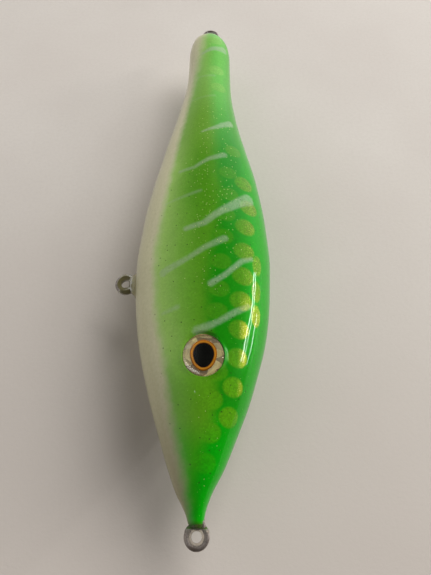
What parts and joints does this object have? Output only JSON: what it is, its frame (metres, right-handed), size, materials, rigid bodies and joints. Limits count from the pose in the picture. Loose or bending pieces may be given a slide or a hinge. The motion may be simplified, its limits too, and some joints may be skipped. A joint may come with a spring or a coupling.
{
  "type": "topwater fishing lure",
  "caption": "Long wooden topwater lure with a fat middle, slim round-ended tail and foil eyes, painted and resin coated, on a through wire with eyes at nose, belly and tail.",
  "frame": {"origin": "under the middle of the part's box, on the surface that its left flank lies on", "axes": "+Y from nose to tail, +X towards the back, -X towards the belly ring, +Z out of the right flank"},
  "size_m": [0.0536, 0.2072, 0.0336],
  "materials": {
    "wood": "matte",
    "wood_glue": "satin",
    "stainless_wire": "gloss",
    "bedding_epoxy": "gloss",
    "lead": "matte",
    "filler": "matte",
    "paint_and_resin": "polished",
    "clear_resin": "polished",
    "foil": "satin",
    "iris_print": "gloss",
    "pupil_print": "gloss",
    "eye_resin": "polished"
  },
  "bodies": {
    "root": {"body_half_right": "wood", "body_half_left": "wood", "glue_line": "wood_glue", "through_wire": "stainless_wire", "belly_hanger": "stainless_wire", "wire_bedding": "bedding_epoxy", "ballast_front": "lead", "ballast_middle": "lead", "ballast_rear": "lead", "filler_front": "filler", "filler_middle": "filler", "filler_rear": "filler", "painted_coat": "paint_and_resin", "nose_resin": "clear_resin", "belly_resin": "clear_resin", "tail_resin": "clear_resin", "eye_foil_right": "foil", "eye_iris_right": "iris_print", "eye_pupil_right": "pupil_print", "eye_dome_right": "eye_resin", "eye_foil_left": "foil", "eye_iris_left": "iris_print", "eye_pupil_left": "pupil_print", "eye_dome_left": "eye_resin"}
  },
  "joints": []
}
